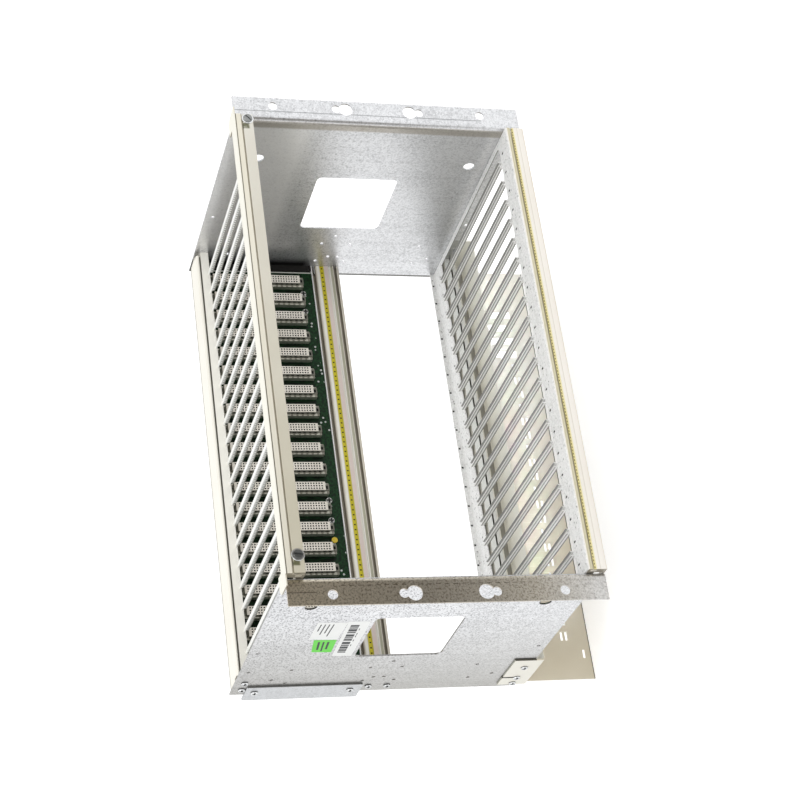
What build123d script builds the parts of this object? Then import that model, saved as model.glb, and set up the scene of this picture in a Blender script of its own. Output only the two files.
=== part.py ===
from build123d import *
import os

# An equipment frame for plug-in boards, in 19-inch rack practice. Millimetres.
# X runs across the rack, Y runs back from the front faces of the ears, Z is up.
# The origin is the middle of the front plane of the ears.

# Rack interface
ear_span = 482.6
ear_reach = 24.05
hole_inset = 8.75
round_hole_spacing = 190.5
round_hole_diameter = 8.3
keyhole_spacing = 76.2
keyhole_slot_diameter = 8.0
keyhole_head_diameter = 13.0
keyhole_drop = 8.6

# Side plates
frame_depth = 246.5
frame_height = 262.6
sheet = 1.5
ear_bend = 5.0
window_depth = 82.6
window_height = 76.8
window_front = 82.9
window_corner = 5.0
lift_hole_diameter = 10.4
lift_hole_back = 56.8
lift_hole_inset = 32.2
service_hole_diameter = 3.6

# Service holes, each as (distance in front of the rear edge, height above the middle)
service_holes = [
    (54.5, 87.0), (32.5, 100.5), (24.5, 87.0), (24.5, 17.5), (55.0, 17.5), (32.5, 9.5),
    (32.5, 0.0), (68.5, 0.0), (24.5, -11.0), (55.0, -11.0), (55.0, -79.5), (24.5, -79.5),
    (32.5, -99.5),
]

# Service holes near the upper and lower edges, each as a distance in front of the rear edge
upper_edge_holes = [94.0, 52.0]
lower_edge_holes = [94.0]
edge_hole_inset = 7.3

# Board positions
slot_pitch = 20.32
right_margin = 24.25
left_margin = 3.5
connector_offset = 2.5

# Front rails, in depth from the ears and in height from the plates' edges
rail_depth = 14.8
rail_lap = 1.0
front_rail_face = -4.7
front_rail_back = 9.0
top_lip_reach = 2.5
top_lip_height = 5.7
rail_wall = 2.0
nut_slot_start = 3.5
nut_slot_width = 2.5
nut_slot_cavity = 5.2
nut_slot_lip = 1.6
nut_slot_depth = 4.2
face_line = 0.5
end_tab_back = 18.5
end_tab_reach = 7.6
end_tab_corner = 7.0

# Rear rails
rear_rail_inset = 3.0
rear_rail_thickness = 30.5
rear_rail_foot = 2.0
rear_rail_top_inset = 1.0
rear_rail_chamfer = 1.5
top_rear_slot_rise = 7.7
bottom_rear_slot_rise = 5.2
rear_slot_width = 1.5
rear_slot_depth = 3.0
rear_line_back = 2.4
rear_line_size = 0.6
rear_end_relief = 3.6
rear_end_relief_back = 9.0

# Middle rear rail
middle_rail_thickness = 11.5
middle_rail_half = 13.3
middle_rail_rib = 0.9
middle_rail_groove = 3.0
middle_groove_depth = 4.0
middle_ledge_drop = 3.0
middle_ledge_thickness = 5.5
board_flange_rise = 3.5
strip_height = 2.6
strip_centre = 2.6
strip_thickness = 0.6
strip_sink = 0.4
strip_clearance = 0.15

# Backplane board and its connectors
board_thickness = 2.5
board_inset = 7.5
board_right_margin = 6.8
board_left_margin = 1.2
board_clearance = 0.2
connector_face_width = 8.3
connector_base_width = 10.6
connector_rise = 10.7
connector_end = 4.45
connector_height = 11.1
connector_base_height = 5.5
connector_ear_height = 7.4
connector_ear_width = 6.0
stud_height = 10.3
stud_diameter = 5.8
stud_head = 2.4

# Power studs, each as a number of pitches from the first connector
stud_places = [0.5, 1.5, 11.5, 12.5]
brass_stud_place = 13.5

# Guides
guide_width = 4.4
guide_height = 3.2
guide_wall = 0.8
guide_end_gap = 6.0
tongue_width = 3.0
guide_plate_thickness = 1.0
guide_plate_flange = 5.0
guide_plate_clearance = 0.25
opening_front = 18.0
opening_lap = 3.0
opening_corner = 3.0
latch_slot_length = 4.0
latch_slot_width = 2.0
latch_slot_gap = 4.0
latch_slot_offset = 7.7
rear_slot_gap = 8.5
flange_slot_rise = 1.2
flange_slot_height = 2.0

# Cover strip in front of the top rail
cover_height = 9.0
cover_thickness = 2.5
cover_clearance = 0.3
cover_edge_gap = 0.1
cover_left_screw = 15.25
cover_right_screw = 5.25
cover_screw_head = 8.2
cover_screw_head_height = 2.4
cover_screw_collar = 10.6
cover_screw_collar_height = 0.8
cover_screw_shank = 2.3
slot_nut_length = 8.0
slot_nut_clearance = 0.15

# Cable support plate below the rear edge
shelf_drop = 7.7
shelf_depth = 57.0
apron_inset = 6.5
apron_height = 68.0
support_bend = 3.0
support_gap = 0.75
tab_lap = 19.3
tab_stub = 8.0
tab_slot_width = 2.4
knockout_pitch = 15.0
knockout_right_margin = 48.8
knockout_left_margin = 42.0
knockout_width = 8.5
knockout_drop = 15.5
knockout_length = 32.5
knockouts_open = 4
knockout_slit = 2.5
knockout_bridge = 2.0
single_slot_margin = 24.5
single_slot_rise = 6.8

# Rear strips on the outer faces of the side plates
strip_lap = 19.5
strip_overhang = 10.5
rear_strip_bottom = 15.4
rear_strip_inset = 12.1
strip_corner = 2.0

# Cross-head screws of the side plates
screw_head_diameter = 6.4
screw_head_height = 1.9
screw_shank = 3.8
screw_grip = 8.0
screw_hole_clearance = 0.3
rear_rail_screws = [7.0, 22.0]
rear_rail_screw_inset = 8.8
middle_rail_screw_back = 3.5
middle_rail_screw_insets = [4.3, 5.2]
strip_screw_back = 12.0
strip_screw_insets = [8.5, 9.6]
tab_screw_gaps = [16.1, 39.7, 53.0]
tab_screw_inset = 6.0

# How many flats stand for a round: small holes and shanks, screw heads, larger rounds
small_flat_count = 8
head_flat_count = 10
large_flat_count = 16
cutter_reach = 1.0

bay_width = ear_span - 2 * ear_reach
half_bay = bay_width / 2
half_height = frame_height / 2
hole_column = ear_span / 2 - hole_inset
plate_outer = half_bay + sheet
tab_outer = plate_outer + sheet
rail_inner = half_height - rail_depth
front_rail_outer = half_height + rail_lap
nut_slot_inner = rail_inner + nut_slot_start
rear_rail_back = frame_depth - rear_rail_inset
rear_rail_front = rear_rail_back - rear_rail_thickness
rear_rail_inner = rail_inner + rear_rail_foot
rear_rail_outer = half_height - rear_rail_top_inset
middle_rail_front = rear_rail_back - middle_rail_thickness
board_back = rear_rail_back - board_inset
board_face = board_back - board_thickness
board_bottom = middle_rail_half + board_clearance
connector_top = rear_rail_inner - 2 * board_clearance
connector_bottom = board_bottom + connector_rise
guide_plate_top = -rail_inner + guide_plate_thickness
guide_plate_back = rear_rail_back - guide_plate_thickness
top_guide_tip = rear_rail_front - guide_end_gap
opening_back = rear_rail_front + opening_lap
cover_inner = rail_inner + cover_edge_gap
cover_outer = cover_inner + cover_height
cover_screw_height = nut_slot_inner + nut_slot_width / 2
cover_screws = [-half_bay + cover_left_screw, half_bay - cover_right_screw]
apron_back = frame_depth - apron_inset
apron_width = bay_width + 2 * support_gap
shelf_front = apron_back - shelf_depth
shelf_top = -half_height - shelf_drop
apron_bottom = shelf_top - apron_height
knockout_top = shelf_top - knockout_drop
knockout_bottom = knockout_top - knockout_length
knockout_count = int((apron_width - knockout_right_margin - knockout_left_margin) / knockout_pitch) + 1
tab_screw_places = [shelf_front + gap for gap in tab_screw_gaps]
tab_screw_height = -half_height + tab_screw_inset
rear_strip_top = half_height - rear_strip_inset
strip_front = frame_depth - strip_lap
strip_back = frame_depth + strip_overhang
slot_count = int((bay_width - right_margin - left_margin) / slot_pitch) + 1
guide_places = [half_bay - right_margin - slot_pitch * place for place in range(slot_count)]
connector_places = [guide + connector_offset for guide in guide_places]


def block(x_low, x_high, y_low, y_high, z_low, z_high):
    """A box between two corners."""
    centre = Pos((x_low + x_high) / 2, (y_low + y_high) / 2, (z_low + z_high) / 2)
    return centre * Box(x_high - x_low, y_high - y_low, z_high - z_low)


def pin_along_x(y, z, diameter, x_low, x_high, flats=small_flat_count):
    """A round bar along X between two places, with flats for its round."""
    section = Plane.YZ.offset(x_low) * Pos(y, z) * RegularPolygon(diameter / 2, flats)
    return extrude(section, amount=x_high - x_low)


def pin_along_y(x, z, diameter, y_low, y_high, flats=small_flat_count):
    """A round bar along Y between two places, with flats for its round."""
    section = Plane.XZ.offset(-y_low) * Pos(x, z) * RegularPolygon(diameter / 2, flats)
    return extrude(section, amount=-(y_high - y_low))


def bent_sheet(path_points, bend, thickness, side):
    """The section of a folded sheet: its outer surface as a path with rounded folds, thickened."""
    path = FilletPolyline(*path_points, radius=bend)
    return make_face(offset(path, amount=thickness, side=side))


def rail(section_points, half_length=half_bay):
    """A rail drawn out along X from its section of (Y, Z) points."""
    section = make_face(Polyline(*section_points, close=True))
    return extrude(Plane.YZ * section, amount=half_length, both=True)


def mirrored(points):
    """The same section with its heights turned upside down."""
    return [(y, -z) for y, z in points]


def ear_holes(ear_x):
    """Round holes and keyholes of one ear, whose wide ends face the middle of the ear."""
    cutters = []
    for way in (-1, 1):
        round_z = way * round_hole_spacing / 2
        slot_z = way * keyhole_spacing / 2
        head_z = slot_z - way * keyhole_drop
        bore = Rot(90, 0, 0) * Cylinder(round_hole_diameter / 2, 4 * sheet)
        cutters.append(Pos(ear_x, 0, round_z) * bore)
        slot = pin_along_y(ear_x, slot_z, keyhole_slot_diameter, -sheet, 2 * sheet, large_flat_count)
        head = pin_along_y(ear_x, head_z, keyhole_head_diameter, -sheet, 2 * sheet, large_flat_count)
        cutters.append(slot + head)
    return cutters


def plate_holes():
    """Holes through the left wall, for air, for lifting and for spare places."""
    low = -plate_outer - sheet
    high = -half_bay + sheet
    window_back = window_front + window_depth
    window = block(low, high, window_front, window_back, -window_height / 2, window_height / 2)
    cutters = [fillet(window.edges().filter_by(Axis.X), window_corner)]
    lift_height = half_height - lift_hole_inset
    for z in (-lift_height, lift_height):
        cutters.append(pin_along_x(lift_hole_back, z, lift_hole_diameter, low, high, large_flat_count))
    edge_height = half_height - edge_hole_inset
    places = service_holes + [(inset, edge_height) for inset in upper_edge_holes]
    places += [(inset, -edge_height) for inset in lower_edge_holes]
    for inset, z in places:
        cutters.append(pin_along_x(frame_depth - inset, z, service_hole_diameter, low, high))
    return cutters


def rail_screw_places():
    """Places (Y, Z) of the screws that go through a side plate into the ends of the rails."""
    upper, lower = middle_rail_screw_insets
    back = middle_rail_front + middle_rail_screw_back
    top = half_height - rear_rail_screw_inset
    places = [(rear_rail_front + gap, top) for gap in rear_rail_screws]
    return places + [(back, middle_rail_half - upper), (back, lower - middle_rail_half)]


def strip_screw_places():
    """Places (Y, Z) of the screws that hold a rear strip to a side plate."""
    upper, lower = strip_screw_insets
    back = strip_front + strip_screw_back
    return [(back, rear_strip_top - upper), (back, rear_strip_bottom + lower)]


def side_screw_places():
    """All screws on one side of the frame as (Y, Z, seat of the head, place of the tip) over X."""
    grip = half_bay - screw_grip
    places = [(y, z, plate_outer, grip) for y, z in rail_screw_places()]
    places += [(y, z, tab_outer, half_bay) for y, z in strip_screw_places()]
    for y in tab_screw_places:
        tip = grip if y > rear_rail_front else half_bay
        places.append((y, tab_screw_height, tab_outer, tip))
    return places


def screw_clearances(x_low, x_high):
    """Clearance holes for the side screws through whatever lies between two X places."""
    hole = screw_shank + 2 * screw_hole_clearance
    return [pin_along_x(y, z, hole, x_low, x_high) for y, z, seat, tip in side_screw_places()]


def with_screw_bores(bar):
    """A rail with bores in both ends for the screws of the side plates."""
    deep = half_bay - screw_grip - screw_hole_clearance
    bar -= screw_clearances(-half_bay - cutter_reach, -deep)
    return bar - screw_clearances(deep, half_bay + cutter_reach)


def left_side_plate():
    """The left wall with its ear, folded from one sheet."""
    corners = [(-half_bay, frame_depth), (-half_bay, 0), (-ear_span / 2, 0)]
    section = bent_sheet(corners, ear_bend, sheet, Side.RIGHT)
    plate = extrude(section, amount=half_height, both=True)
    plate -= ear_holes(-hole_column)
    return plate - plate_holes()


def right_side_plate():
    """The same pressing as the left wall, turned over about Y."""
    return Rot(0, 180, 0) * left_side_plate()


def with_screw_holes(plate, side):
    """A side plate with the clearance holes of its screws."""
    low, high = sorted((side * (half_bay - sheet), side * (tab_outer + sheet)))
    return plate - screw_clearances(low, high)


def front_rail_section(lip_reach):
    """Half section of a front rail, with a nut slot in its face and a lip along its outer edge."""
    face = front_rail_face
    slot_outer = nut_slot_inner + nut_slot_width
    cavity_inner = nut_slot_inner - (nut_slot_cavity - nut_slot_width) / 2
    cavity_outer = cavity_inner + nut_slot_cavity
    lip_inner = front_rail_outer - top_lip_height
    lip_face = face - lip_reach
    line_height = front_rail_outer - face_line
    channel_inner = cavity_outer - rail_wall / 2
    channel_front = face + nut_slot_depth + rail_wall
    lip_start = [(face, lip_inner), (lip_face, lip_inner)] if lip_reach > 0 else []
    return [
        (face, rail_inner),
        (face, nut_slot_inner),
        (face + nut_slot_lip, nut_slot_inner),
        (face + nut_slot_lip, cavity_inner),
        (face + nut_slot_depth, cavity_inner),
        (face + nut_slot_depth, cavity_outer),
        (face + nut_slot_lip, cavity_outer),
        (face + nut_slot_lip, slot_outer),
        (face, slot_outer),
        *lip_start,
        (lip_face, line_height - face_line),
        (lip_face + face_line, line_height - face_line),
        (lip_face + face_line, line_height),
        (lip_face, line_height),
        (lip_face, front_rail_outer),
        (front_rail_back, front_rail_outer),
        (front_rail_back, front_rail_outer - rail_wall),
        (channel_front, front_rail_outer - rail_wall),
        (channel_front, channel_inner),
        (front_rail_back, channel_inner),
        (front_rail_back, rail_inner),
    ]


def rail_end_tab(side):
    """The end of the upper lip, which laps the top edge of a side plate and its ear."""
    outer = plate_outer + end_tab_reach
    x_low, x_high = sorted((side * (half_bay - end_tab_corner), side * outer))
    tab = block(x_low, x_high, front_rail_face, end_tab_back, half_height, front_rail_outer)
    rear_edges = tab.edges().filter_by(Axis.Z).group_by(Axis.Y)[-1]
    corner = rear_edges.sort_by(Axis.X)[-1 if side > 0 else 0]
    return fillet(corner, end_tab_corner)


def rear_rail_section(slot_rise):
    """Section of a rear rail: a slot along its front face, a fine line on top and a foot behind."""
    slot_inner = rear_rail_inner + slot_rise
    slot_outer = slot_inner + rear_slot_width
    slot_floor = rear_rail_front + rear_slot_depth
    line_back = rear_rail_back - rear_line_back
    line_front = line_back - rear_line_size
    return [
        (rear_rail_front, rear_rail_inner),
        (rear_rail_front, slot_inner),
        (slot_floor, slot_inner),
        (slot_floor, slot_outer),
        (rear_rail_front, slot_outer),
        (rear_rail_front, rear_rail_outer - rear_rail_chamfer),
        (rear_rail_front + rear_rail_chamfer, rear_rail_outer),
        (line_front, rear_rail_outer),
        (line_front, rear_rail_outer - rear_line_size),
        (line_back, rear_rail_outer - rear_line_size),
        (line_back, rear_rail_outer),
        (rear_rail_back, rear_rail_outer),
        (rear_rail_back, rail_inner),
        (board_back, rail_inner),
        (board_back, rear_rail_inner),
    ]


def top_rear_rail():
    """The upper rear rail, whose outer front part is cut away at both ends."""
    bar = rail(rear_rail_section(top_rear_slot_rise))
    low = rear_rail_front - cutter_reach
    high = rear_rail_front + rear_end_relief_back
    floor = rear_rail_inner + top_rear_slot_rise
    roof = half_height + cutter_reach
    for side in (-1, 1):
        start = side * (half_bay - rear_end_relief)
        x_low, x_high = sorted((start, side * (half_bay + cutter_reach)))
        bar -= block(x_low, x_high, low, high, floor, roof)
    return with_screw_bores(bar)


def middle_rail_section():
    """Section of the middle rail: ribs and grooves in front, a strip recess, ledges behind."""
    front = middle_rail_front
    floor = front + middle_groove_depth
    recess = front + strip_thickness + strip_sink
    ledge_front = rear_rail_back - middle_ledge_thickness
    top = middle_rail_half
    rib = middle_rail_rib
    groove = middle_rail_groove
    recess_top = strip_centre + strip_height / 2 + strip_clearance
    recess_bottom = strip_centre - strip_height / 2 - strip_clearance
    low_line = -top / 3
    return [
        (front, top),
        (front, top - rib),
        (floor, top - rib),
        (floor, top - rib - groove),
        (front, top - rib - groove),
        (front, recess_top),
        (recess, recess_top),
        (recess, recess_bottom),
        (front, recess_bottom),
        (front, low_line),
        (recess, low_line),
        (recess, low_line - rib),
        (front, low_line - rib),
        (front, -top + rib + groove),
        (floor, -top + rib + groove),
        (floor, -top + rib),
        (front, -top + rib),
        (front, -top),
        (ledge_front, -top),
        (ledge_front, -top - middle_ledge_drop),
        (rear_rail_back, -top - middle_ledge_drop),
        (rear_rail_back, top + board_flange_rise),
        (board_back, top + board_flange_rise),
        (board_back, top),
    ]


def top_front_rail():
    """The upper front rail, whose lip shades the cover strip and laps the side plates."""
    bar = rail(front_rail_section(top_lip_reach))
    return bar + rail_end_tab(-1) + rail_end_tab(1)


def bottom_front_rail():
    """The lower front rail: the same section without the long lip, upside down."""
    return rail(mirrored(front_rail_section(0.0)))


def position_strip():
    """The strip of position marks that lies in the recess of the middle rail."""
    back = middle_rail_front + strip_thickness + strip_sink
    low = strip_centre - strip_height / 2
    reach = half_bay - strip_clearance
    return block(-reach, reach, back - strip_thickness, back, low, low + strip_height)


def backplane_board():
    """The circuit board behind the upper half of the bay."""
    left = -half_bay + board_left_margin
    right = half_bay - board_right_margin
    return block(left, right, board_face, board_back, board_bottom, rear_rail_inner - board_clearance)


def stepped_bar(x, steps, z_low, z_high):
    """A bar along Z on the board's face, whose section narrows in steps of (width, height)."""
    points = []
    foot = board_face
    for width, height in steps:
        points += [(x + width / 2, foot), (x + width / 2, board_face - height)]
        foot = board_face - height
    points += [(2 * x - edge, depth) for edge, depth in reversed(points)]
    section = Plane.XY.offset(z_low) * make_face(Polyline(*points, close=True))
    return extrude(section, amount=z_high - z_low)


def connector(x):
    """A socket of three rows: a wide foot on the board, a narrow block, and an ear at each end."""
    foot = (connector_base_width, connector_base_height)
    ear = (connector_ear_width, connector_ear_height)
    face = (connector_face_width, connector_height)
    ends = stepped_bar(x, [foot, ear], connector_bottom, connector_top)
    body_bottom = connector_bottom + connector_end
    return ends + stepped_bar(x, [foot, face], body_bottom, connector_top - connector_end)


def stud(pitches):
    """A power screw on the board, between two connectors."""
    x = connector_places[0] - slot_pitch * pitches
    height = board_bottom + stud_height
    return pin_along_y(x, height, stud_diameter, board_face - stud_head, board_face, head_flat_count)


def top_guide(x):
    """A channel that opens downwards, held at its back by a narrow tongue."""
    top = rear_rail_inner + guide_height / 2
    half = guide_width / 2
    inner = half - guide_wall
    low = top - guide_height
    roof = top - guide_wall
    channel = [
        (x - half, low), (x - half, top), (x + half, top), (x + half, low),
        (x + inner, low), (x + inner, roof), (x - inner, roof), (x - inner, low),
    ]
    section = Plane.XZ.offset(-front_rail_back) * make_face(Polyline(*channel, close=True))
    tongue = block(
        x - tongue_width / 2, x + tongue_width / 2,
        top_guide_tip - tongue_width, rear_rail_front, roof, top,
    )
    return extrude(section, amount=-(top_guide_tip - front_rail_back)) + tongue


def guide_plate_opening(x):
    """The long opening to the right of one guide, with cut corners at its front."""
    low = x + guide_width / 2
    high = x + slot_pitch - guide_width / 2
    base = guide_plate_top - 2 * guide_plate_thickness
    opening = block(low, high, opening_front, opening_back, base, guide_plate_top + guide_height)
    return chamfer(opening.edges().filter_by(Axis.Z).group_by(Axis.Y)[0], opening_corner)


def guide_ribs(x):
    """The two upright ribs between which a board slides."""
    ribs = []
    for way in (-1, 1):
        edge = x + way * guide_width / 2
        low, high = sorted((edge, edge - way * guide_wall))
        rib = block(
            low, high, opening_front, opening_back,
            guide_plate_top - guide_plate_thickness / 2, guide_plate_top + guide_height,
        )
        ribs.append(rib)
    return ribs


def guide_plate_slots(x):
    """Latch slots in front of an opening, behind it and in the rear flange."""
    base = guide_plate_top - 2 * guide_plate_thickness
    top = guide_plate_top + guide_plate_thickness
    half_width = latch_slot_width / 2
    latch_x = x + latch_slot_offset
    latch_back = opening_front - latch_slot_gap
    middle_x = x + slot_pitch / 2
    rear_middle = opening_back + rear_slot_gap
    flange_low = guide_plate_top + flange_slot_rise
    latch = block(
        latch_x - half_width, latch_x + half_width,
        latch_back - latch_slot_length, latch_back, base, top,
    )
    rear = block(
        middle_x - half_width, middle_x + half_width,
        rear_middle - half_width, rear_middle + half_width, base, top,
    )
    flange = block(
        middle_x - half_width, middle_x + half_width,
        guide_plate_back - 2 * guide_plate_thickness, guide_plate_back + guide_plate_thickness,
        flange_low, flange_low + flange_slot_height,
    )
    return [latch, rear, flange]


def bottom_guide_plate():
    """One pressed sheet across the lower rails, with a ribbed guide for every board."""
    base = guide_plate_top - guide_plate_thickness
    back = guide_plate_back
    corners = [(front_rail_face, base), (back, base), (back, base + guide_plate_flange)]
    section = bent_sheet(corners, 2 * guide_plate_thickness, guide_plate_thickness, Side.LEFT)
    reach = half_bay - guide_plate_clearance
    plate = extrude(Plane.YZ * section, amount=reach, both=True)
    for x in guide_places:
        plate += guide_ribs(x)
    plate -= [guide_plate_opening(x) for x in guide_places]
    for x in guide_places:
        plate -= guide_plate_slots(x)
    return plate


def cover_strip():
    """The removable strip in front of the upper rail, between the lip and the bay."""
    reach = half_bay - cover_clearance
    back = front_rail_face
    front = back - cover_thickness
    strip = block(-reach, reach, front, back, cover_inner, cover_outer)
    hole = cover_screw_shank + 2 * screw_hole_clearance
    for x in cover_screws:
        strip -= pin_along_y(x, cover_screw_height, hole, front - cutter_reach, back + cutter_reach)
    return strip


def cover_strip_screw(x):
    """A screw of the cover strip: a head on a wider collar, and a shank into the nut slot."""
    height = cover_screw_height
    seat = front_rail_face - cover_thickness
    tip = front_rail_face + nut_slot_depth - slot_nut_clearance
    front = seat - cover_screw_head_height
    rim = seat - cover_screw_collar_height
    screw = pin_along_y(x, height, cover_screw_head, front, seat, large_flat_count)
    screw += pin_along_y(x, height, cover_screw_collar, rim, seat, large_flat_count)
    return screw + pin_along_y(x, height, cover_screw_shank, seat, tip)


def slot_nut(x):
    """The nut of a cover strip screw, a bar that lies in the cavity of the nut slot."""
    half_height_of_nut = nut_slot_cavity / 2 - slot_nut_clearance
    low = front_rail_face + nut_slot_lip
    high = front_rail_face + nut_slot_depth - slot_nut_clearance
    nut = block(
        x - slot_nut_length / 2, x + slot_nut_length / 2, low, high,
        cover_screw_height - half_height_of_nut, cover_screw_height + half_height_of_nut,
    )
    hole = cover_screw_shank + 2 * slot_nut_clearance
    return nut - pin_along_y(x, cover_screw_height, hole, low - cutter_reach, high + cutter_reach)


def cover_strip_screws():
    """Both screws of the cover strip with their nuts."""
    pieces = [cover_strip_screw(x) for x in cover_screws] + [slot_nut(x) for x in cover_screws]
    return Compound(children=pieces)


def support_slots():
    """Cable openings of the apron: the first few are broken out, the others still closed."""
    low = apron_back - 2 * sheet
    high = apron_back + sheet
    half = knockout_width / 2
    cutters = []
    for place in range(knockout_count):
        x = apron_width / 2 - knockout_right_margin - knockout_pitch * place
        if place < knockouts_open:
            cutters.append(block(x - half, x + half, low, high, knockout_bottom, knockout_top))
            continue
        slit_top = knockout_bottom + knockout_slit
        cutters.append(block(x - half, x + half, low, high, knockout_bottom, slit_top))
        upper = slit_top + knockout_bridge
        cutters.append(block(x - half, x + half, low, high, upper, upper + knockout_slit))
    single_x = -apron_width / 2 + single_slot_margin
    single_z = apron_bottom + single_slot_rise
    cutters.append(block(
        single_x - half, single_x + half, low, high,
        single_z - knockout_slit / 2, single_z + knockout_slit / 2,
    ))
    return cutters


def support_tab(side):
    """An upright end of the shelf, screwed to the outer face of a side plate."""
    tab_top = -half_height + tab_lap
    corners = [
        (side * (tab_outer - tab_stub), shelf_top - sheet),
        (side * tab_outer, shelf_top - sheet),
        (side * tab_outer, tab_top),
    ]
    thick_side = Side.LEFT if side > 0 else Side.RIGHT
    section = bent_sheet(corners, support_bend, sheet, thick_side)
    tab = extrude(Plane.XZ.offset(-shelf_front) * section, amount=-(apron_back - shelf_front))
    x_low, x_high = sorted((side * (plate_outer - sheet), side * (tab_outer + sheet)))
    slot_middle = tab_screw_places[1]
    return tab - block(
        x_low, x_high, slot_middle - tab_slot_width / 2, slot_middle + tab_slot_width / 2,
        tab_screw_height, tab_top + sheet,
    )


def cable_support_plate():
    """A shelf under the rear edge, an apron that hangs from it, and a tab at each end."""
    corners = [(shelf_front, shelf_top), (apron_back, shelf_top), (apron_back, apron_bottom)]
    section = bent_sheet(corners, support_bend, sheet, Side.RIGHT)
    plate = extrude(Plane.YZ * section, amount=apron_width / 2, both=True)
    plate -= support_slots()
    plate += support_tab(-1)
    plate += support_tab(1)
    reach = tab_outer + sheet
    plate -= screw_clearances(-reach, -half_bay)
    return plate - screw_clearances(half_bay, reach)


def rear_strip(side):
    """A flat strip on the outer face of a side plate that stands out behind its rear edge."""
    x_low, x_high = sorted((side * plate_outer, side * tab_outer))
    strip = block(x_low, x_high, strip_front, strip_back, rear_strip_bottom, rear_strip_top)
    strip = fillet(strip.edges().filter_by(Axis.X), strip_corner)
    return strip - screw_clearances(*sorted((side * half_bay, side * (tab_outer + sheet))))


def side_screws():
    """All cross-head screws of both side plates, each with its shank through the sheets."""
    screws = []
    for side in (-1, 1):
        for y, z, seat, tip in side_screw_places():
            head = sorted((side * seat, side * (seat + screw_head_height)))
            shank = sorted((side * tip, side * seat))
            screw = pin_along_x(y, z, screw_head_diameter, *head, head_flat_count)
            screws.append(screw + pin_along_x(y, z, screw_shank, *shank))
    return Compound(children=screws)


def save(shape, name):
    """Writes one sub-part as a STEP file named after its node."""
    export_step(shape, f"parts/{name}.step")


os.makedirs("parts", exist_ok=True)
save(with_screw_holes(left_side_plate(), -1), "left_side_plate")
save(with_screw_holes(right_side_plate(), 1), "right_side_plate")
save(top_front_rail(), "top_front_rail")
save(bottom_front_rail(), "bottom_front_rail")
save(top_rear_rail(), "top_rear_rail")
save(with_screw_bores(rail(mirrored(rear_rail_section(bottom_rear_slot_rise)))), "bottom_rear_rail")
save(with_screw_bores(rail(middle_rail_section())), "middle_rear_rail")
save(position_strip(), "position_strip")
save(backplane_board(), "backplane_board")
for number, x in enumerate(connector_places, start=1):
    save(connector(x), f"connector_{number:02d}")
for number, x in enumerate(guide_places, start=1):
    save(top_guide(x), f"top_guide_{number:02d}")
save(bottom_guide_plate(), "bottom_guide_plate")
save(cover_strip(), "cover_strip")
save(cover_strip_screws(), "cover_strip_screws")
save(cable_support_plate(), "cable_support_plate")
save(rear_strip(-1), "left_rear_strip")
save(rear_strip(1), "right_rear_strip")
save(side_screws(), "side_screws")
save(Compound(children=[stud(pitches) for pitches in stud_places]), "board_studs")
save(stud(brass_stud_place), "brass_stud")
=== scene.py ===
import bpy
import numpy as np
from mathutils import Matrix, Vector


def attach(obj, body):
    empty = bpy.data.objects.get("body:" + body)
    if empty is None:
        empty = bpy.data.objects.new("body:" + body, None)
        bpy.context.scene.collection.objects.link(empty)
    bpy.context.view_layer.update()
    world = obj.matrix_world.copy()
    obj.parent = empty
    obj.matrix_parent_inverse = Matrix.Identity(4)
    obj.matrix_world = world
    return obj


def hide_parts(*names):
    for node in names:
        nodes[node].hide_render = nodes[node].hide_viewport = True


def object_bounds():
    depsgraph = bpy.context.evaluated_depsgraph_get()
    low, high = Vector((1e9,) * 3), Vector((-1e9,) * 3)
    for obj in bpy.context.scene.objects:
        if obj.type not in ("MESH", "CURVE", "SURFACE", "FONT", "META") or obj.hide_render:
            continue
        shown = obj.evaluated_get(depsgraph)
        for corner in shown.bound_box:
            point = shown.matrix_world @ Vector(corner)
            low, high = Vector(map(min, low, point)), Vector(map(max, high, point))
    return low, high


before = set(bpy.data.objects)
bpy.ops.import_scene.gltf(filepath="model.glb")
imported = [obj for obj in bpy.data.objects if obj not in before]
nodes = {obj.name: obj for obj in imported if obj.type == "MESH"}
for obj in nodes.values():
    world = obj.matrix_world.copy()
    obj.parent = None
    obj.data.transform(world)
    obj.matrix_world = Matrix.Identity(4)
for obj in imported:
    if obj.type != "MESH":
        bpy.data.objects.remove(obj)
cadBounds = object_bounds()
mm = 0.001


def join(*parts):
    # Stacks (points, faces, finish numbers) of several shapes; face numbers move up by the count of
    # the points that come before.
    points, faces, finishes = zip(*parts)
    starts = np.cumsum([0] + [len(group) for group in points[:-1]])
    shifted = [group + start for group, start in zip(faces, starts)]
    return np.concatenate(points), np.concatenate(shifted), np.concatenate(finishes)


def repeat(part, offsets):
    # Copies one shape to every offset: point + offset, face numbers shifted by the copy's number.
    points, faces, finishes = part
    offsets = np.asarray(offsets, float)
    allPoints = (points[None] + offsets[:, None]).reshape(-1, 3)
    shift = np.arange(len(offsets))[:, None, None] * len(points)
    return allPoints, (faces[None] + shift).reshape(-1, 4), np.tile(finishes, len(offsets))


def boxes(low, high):
    # Boxes between rows of low and high corners: each point takes its low or high value per axis.
    low = np.atleast_2d(np.asarray(low, float))
    high = np.atleast_2d(np.asarray(high, float))
    corner = np.array([[i & 1, i >> 1 & 1, i >> 2 & 1] for i in range(8)])
    points = np.where(corner[None] == 1, high[:, None], low[:, None]).reshape(-1, 3)
    one = np.array([[0, 2, 3, 1], [4, 5, 7, 6], [0, 1, 5, 4], [2, 6, 7, 3], [0, 4, 6, 2], [1, 3, 7, 5]])
    faces = (one[None] + 8 * np.arange(len(low))[:, None, None]).reshape(-1, 4)
    return points, faces, np.zeros(len(faces), int)


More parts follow.
